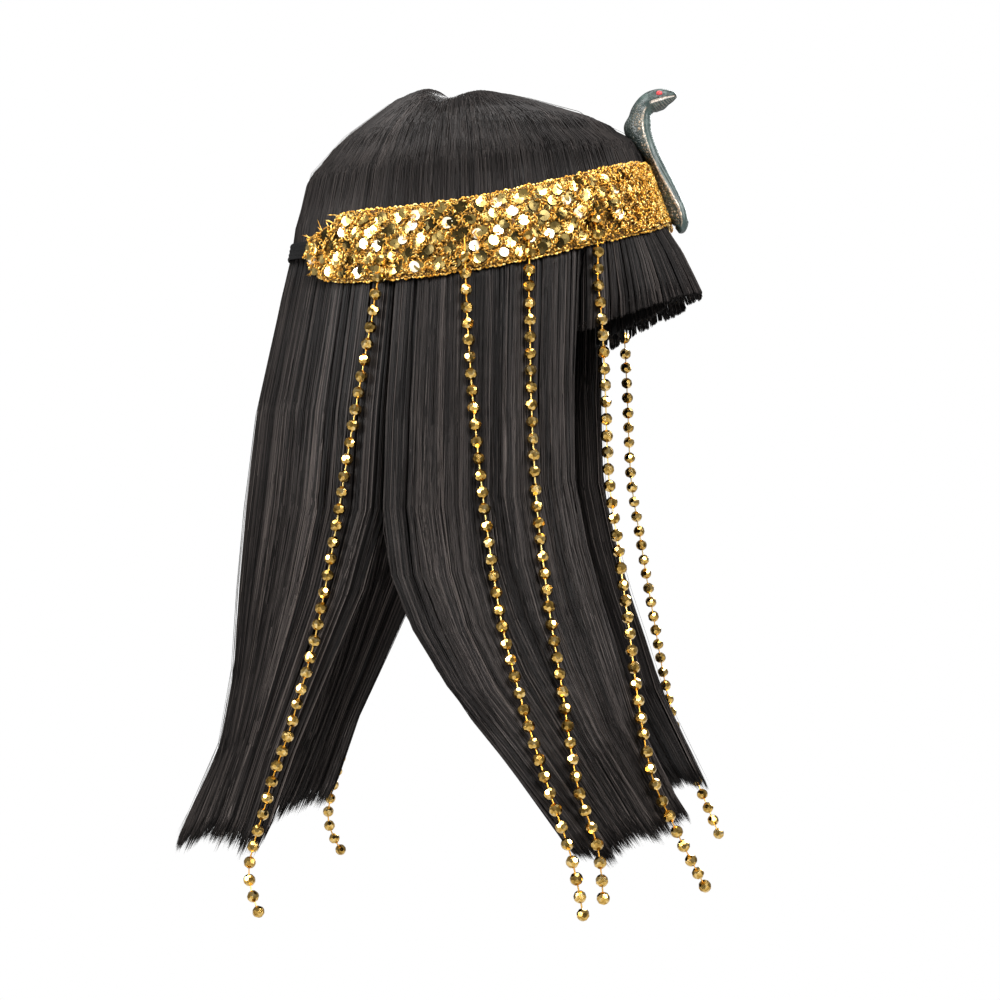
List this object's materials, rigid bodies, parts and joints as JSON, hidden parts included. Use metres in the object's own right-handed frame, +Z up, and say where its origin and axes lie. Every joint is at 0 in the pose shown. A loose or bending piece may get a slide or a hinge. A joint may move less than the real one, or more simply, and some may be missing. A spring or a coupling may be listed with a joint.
{
  "type": "costume wig",
  "caption": "Straight black Egyptian-queen costume wig with fringe, gold sequinned headband closed by elastic, rearing cobra ornament and hanging gold bead strings.",
  "frame": {"origin": "point inside the top of the cap that rests on the crown of the wearer's head", "axes": "+Z up along the wearer's head and the longest side of the wig, -Y towards the wearer's face, +X towards the wearer's left"},
  "size_m": [0.299, 0.3007, 0.4419],
  "materials": {
    "hair": "straight synthetic fibre, soft sheen",
    "cap_net": "plain black net, matte",
    "gold_sequins": "gold sequins and metallic thread on cloth",
    "black_elastic": "ribbed woven elastic, matte",
    "cobra_moulding": "dark green moulding brushed with bronze paint",
    "gold_beads": "faceted, metallized gold"
  },
  "bodies": {
    "root": {"cap": "cap_net", "crown_hair": "hair", "fringe": "hair", "side_hair_left": "hair", "side_hair_right": "hair", "back_hair": "hair", "headband": "gold_sequins", "back_elastic": "black_elastic", "cobra": "cobra_moulding", "bead_string_nape_left": "gold_beads", "bead_string_ear_left": "gold_beads", "bead_string_cheek_left": "gold_beads", "bead_string_temple_left": "gold_beads", "bead_string_nape_right": "gold_beads", "bead_string_ear_right": "gold_beads", "bead_string_cheek_right": "gold_beads", "bead_string_temple_right": "gold_beads"}
  },
  "joints": []
}
